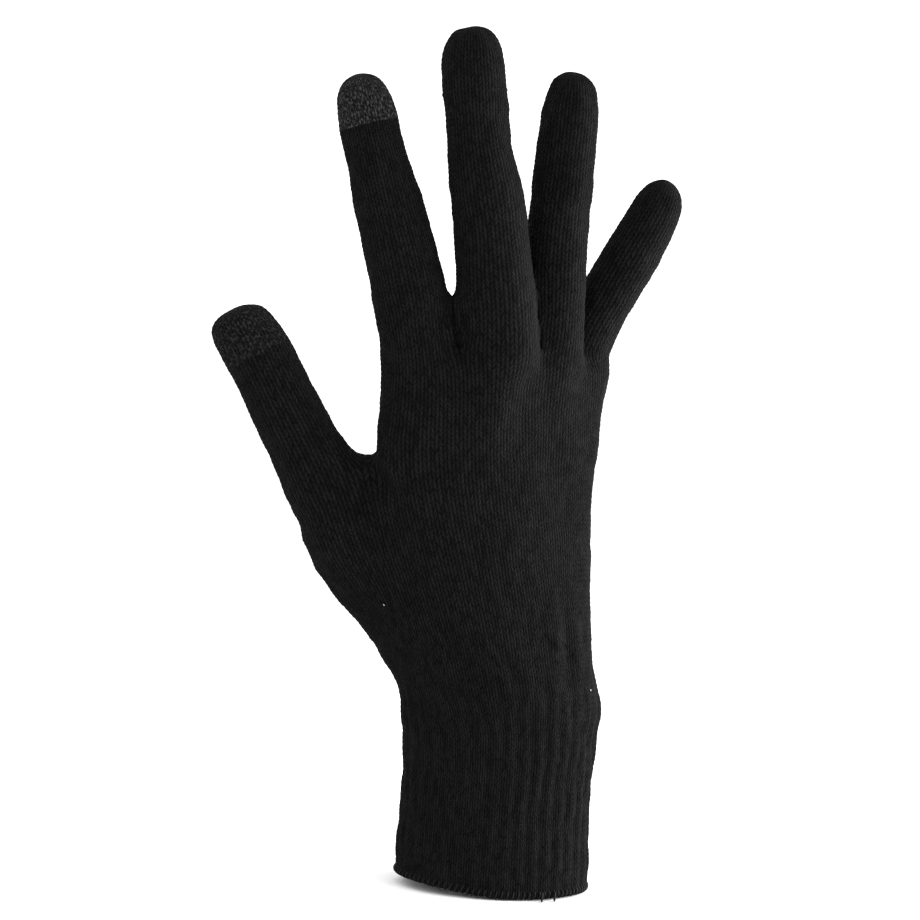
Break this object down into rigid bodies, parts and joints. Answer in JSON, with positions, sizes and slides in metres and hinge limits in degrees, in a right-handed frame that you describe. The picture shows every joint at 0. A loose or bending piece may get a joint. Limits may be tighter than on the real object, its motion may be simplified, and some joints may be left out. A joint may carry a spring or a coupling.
{
  "type": "touchscreen glove",
  "caption": "Knitted right-hand touchscreen glove with a ribbed cuff and conductive yarn on the thumb and index tips; wrist and digits bend at their folds.",
  "frame": {"origin": "centre of the cuff mouth, in the plane of the hem edge", "axes": "+Z from the cuff to the fingertips; the back of the hand faces -Y, turned about 20 to 30 degrees towards +X; +X from the thumb side to the little-finger side"},
  "size_m": [0.1269, 0.0561, 0.2352],
  "materials": {
    "plain_knit": "matte black stocking-stitch knit, slightly hairy",
    "rib_knit": "matte black ribbed knit",
    "conductive_knit": "dark grey heather knit with silvery conductive fibres",
    "sewing_thread": "black polyester overlock thread",
    "elastic_yarn": "covered elastic yarn"
  },
  "bodies": {
    "cuff": {"hem_overlock": "sewing_thread", "cuff_hem": "rib_knit", "cuff_rib": "rib_knit", "cuff_elastic_yarns": "elastic_yarn", "hem_thread_loops": "sewing_thread", "wrist_side_fold": "plain_knit"},
    "wrist_band": {"wrist_band": "plain_knit", "wrist_bend_fold": "plain_knit"},
    "hand": {"palm_lower": "plain_knit", "palm_upper": "plain_knit", "crotch_tacks": "sewing_thread", "thumb_root_fold": "plain_knit", "index_root_fold": "plain_knit", "middle_root_fold": "plain_knit", "ring_root_fold": "plain_knit", "little_root_fold": "plain_knit"},
    "thumb_root": {"thumb_root_band": "plain_knit", "thumb_knuckle_fold": "plain_knit"},
    "thumb_proximal": {"thumb_proximal": "plain_knit", "thumb_middle_fold": "plain_knit"},
    "thumb_distal": {"thumb_distal": "plain_knit", "thumb_conductive_cap": "conductive_knit", "thumb_tip_knot": "sewing_thread"},
    "index_root": {"index_root_band": "plain_knit", "index_knuckle_fold": "plain_knit"},
    "index_proximal": {"index_proximal": "plain_knit", "index_middle_fold": "plain_knit"},
    "index_middle": {"index_middle": "plain_knit", "index_tip_fold": "plain_knit"},
    "index_distal": {"index_distal": "plain_knit", "index_conductive_cap": "conductive_knit", "index_tip_knot": "sewing_thread"},
    "middle_root": {"middle_root_band": "plain_knit", "middle_knuckle_fold": "plain_knit"},
    "middle_proximal": {"middle_proximal": "plain_knit", "middle_middle_fold": "plain_knit"},
    "middle_middle": {"middle_middle": "plain_knit", "middle_tip_fold": "plain_knit"},
    "middle_distal": {"middle_distal": "plain_knit", "middle_tip_knot": "sewing_thread"},
    "ring_root": {"ring_root_band": "plain_knit", "ring_knuckle_fold": "plain_knit"},
    "ring_proximal": {"ring_proximal": "plain_knit", "ring_middle_fold": "plain_knit"},
    "ring_middle": {"ring_middle": "plain_knit", "ring_tip_fold": "plain_knit"},
    "ring_distal": {"ring_distal": "plain_knit", "ring_tip_knot": "sewing_thread"},
    "little_root": {"little_root_band": "plain_knit", "little_knuckle_fold": "plain_knit"},
    "little_proximal": {"little_proximal": "plain_knit", "little_middle_fold": "plain_knit"},
    "little_middle": {"little_middle": "plain_knit", "little_tip_fold": "plain_knit"},
    "little_distal": {"little_distal": "plain_knit", "little_tip_knot": "sewing_thread"}
  },
  "joints": [
    {"name": "wrist_deviation", "type": "hinge", "parent": "cuff", "child": "wrist_band", "pos_m": [-0.0007, 0, 0.039], "axis": [-0.2756, 0.9613, 0], "range_deg": [-15, 20], "deforming": ["wrist_side_fold"]},
    {"name": "wrist_flex", "type": "hinge", "parent": "wrist_band", "child": "hand", "pos_m": [-0.0025, 0, 0.056], "axis": [-0.9613, -0.2756, 0], "range_deg": [-45, 50], "deforming": ["wrist_bend_fold"]},
    {"name": "thumb_swing", "type": "hinge", "parent": "hand", "child": "thumb_root", "pos_m": [-0.05738, 0.004, 0.1117], "axis": [0, -1, 0], "range_deg": [-20, 18], "deforming": ["thumb_root_fold"]},
    {"name": "thumb_knuckle_bend", "type": "hinge", "parent": "thumb_root", "child": "thumb_proximal", "pos_m": [-0.06096, 0.0058, 0.11902], "axis": [-0.7686, 0.4226, -0.4803], "range_deg": [0, 45], "deforming": ["thumb_knuckle_fold"]},
    {"name": "thumb_middle_bend", "type": "hinge", "parent": "thumb_proximal", "child": "thumb_distal", "pos_m": [-0.07016, 0.00572, 0.13367], "axis": [-0.7686, 0.4226, -0.4803], "range_deg": [-5, 70], "deforming": ["thumb_middle_fold"]},
    {"name": "index_spread", "type": "hinge", "parent": "hand", "child": "index_root", "pos_m": [-0.03245, 0.001, 0.15162], "axis": [-0.4578, 0.8766, -0.1487], "range_deg": [-6, 8], "deforming": ["index_root_fold"]},
    {"name": "index_knuckle_bend", "type": "hinge", "parent": "index_root", "child": "index_proximal", "pos_m": [-0.03634, 0.00268, 0.1606], "axis": [-0.8337, -0.4813, -0.2709], "range_deg": [-15, 60], "deforming": ["index_knuckle_fold"]},
    {"name": "index_middle_bend", "type": "hinge", "parent": "index_proximal", "child": "index_middle", "pos_m": [-0.04201, 0.0026, 0.17821], "axis": [-0.8337, -0.4813, -0.2709], "range_deg": [0, 85], "deforming": ["index_middle_fold"]},
    {"name": "index_tip_bend", "type": "hinge", "parent": "index_middle", "child": "index_distal", "pos_m": [-0.04861, 0.0025, 0.19868], "axis": [-0.8337, -0.4813, -0.2709], "range_deg": [-5, 50], "deforming": ["index_tip_fold"]},
    {"name": "middle_spread", "type": "hinge", "parent": "hand", "child": "middle_root", "pos_m": [-0.01, 0, 0.15196], "axis": [-0.488, 0.869, -0.0817], "range_deg": [-4, 4], "deforming": ["middle_root_fold"]},
    {"name": "middle_knuckle_bend", "type": "hinge", "parent": "middle_root", "child": "middle_proximal", "pos_m": [-0.01258, 0.00167, 0.16166], "axis": [-0.8571, -0.4948, -0.1434], "range_deg": [-15, 60], "deforming": ["middle_knuckle_fold"]},
    {"name": "middle_middle_bend", "type": "hinge", "parent": "middle_proximal", "child": "middle_middle", "pos_m": [-0.01668, 0.00161, 0.18633], "axis": [-0.8571, -0.4948, -0.1434], "range_deg": [0, 85], "deforming": ["middle_middle_fold"]},
    {"name": "middle_tip_bend", "type": "hinge", "parent": "middle_middle", "child": "middle_distal", "pos_m": [-0.02077, 0.00155, 0.21099], "axis": [-0.8571, -0.4948, -0.1434], "range_deg": [-5, 50], "deforming": ["middle_tip_fold"]},
    {"name": "ring_spread", "type": "hinge", "parent": "hand", "child": "ring_root", "pos_m": [0.00492, 0.012, 0.15175], "axis": [0.5, -0.866, -0.0044], "range_deg": [-5, 5], "deforming": ["ring_root_fold"]},
    {"name": "ring_knuckle_bend", "type": "hinge", "parent": "ring_root", "child": "ring_proximal", "pos_m": [0.00418, 0.01344, 0.16151], "axis": [-0.866, -0.5, 0.0076], "range_deg": [-15, 60], "deforming": ["ring_knuckle_fold"]},
    {"name": "ring_middle_bend", "type": "hinge", "parent": "ring_proximal", "child": "ring_middle", "pos_m": [0.00436, 0.01342, 0.18101], "axis": [-0.866, -0.5, 0.0076], "range_deg": [0, 85], "deforming": ["ring_middle_fold"]},
    {"name": "ring_tip_bend", "type": "hinge", "parent": "ring_middle", "child": "ring_distal", "pos_m": [0.00457, 0.01339, 0.2035], "axis": [-0.866, -0.5, 0.0076], "range_deg": [-5, 50], "deforming": ["ring_tip_fold"]},
    {"name": "little_spread", "type": "hinge", "parent": "hand", "child": "little_root", "pos_m": [0.01438, 0.026, 0.15119], "axis": [0.4262, -0.8845, -0.1898], "range_deg": [-4, 18], "deforming": ["little_root_fold"]},
    {"name": "little_knuckle_bend", "type": "hinge", "parent": "little_root", "child": "little_proximal", "pos_m": [0.01677, 0.02729, 0.15823], "axis": [-0.808, -0.4665, 0.3598], "range_deg": [-15, 50], "deforming": ["little_knuckle_fold"]},
    {"name": "little_middle_bend", "type": "hinge", "parent": "little_proximal", "child": "little_middle", "pos_m": [0.02133, 0.02726, 0.16846], "axis": [-0.808, -0.4665, 0.3598], "range_deg": [0, 75], "deforming": ["little_middle_fold"]},
    {"name": "little_tip_bend", "type": "hinge", "parent": "little_middle", "child": "little_distal", "pos_m": [0.02806, 0.02722, 0.18352], "axis": [-0.808, -0.4665, 0.3598], "range_deg": [-5, 45], "deforming": ["little_tip_fold"]}
  ]
}
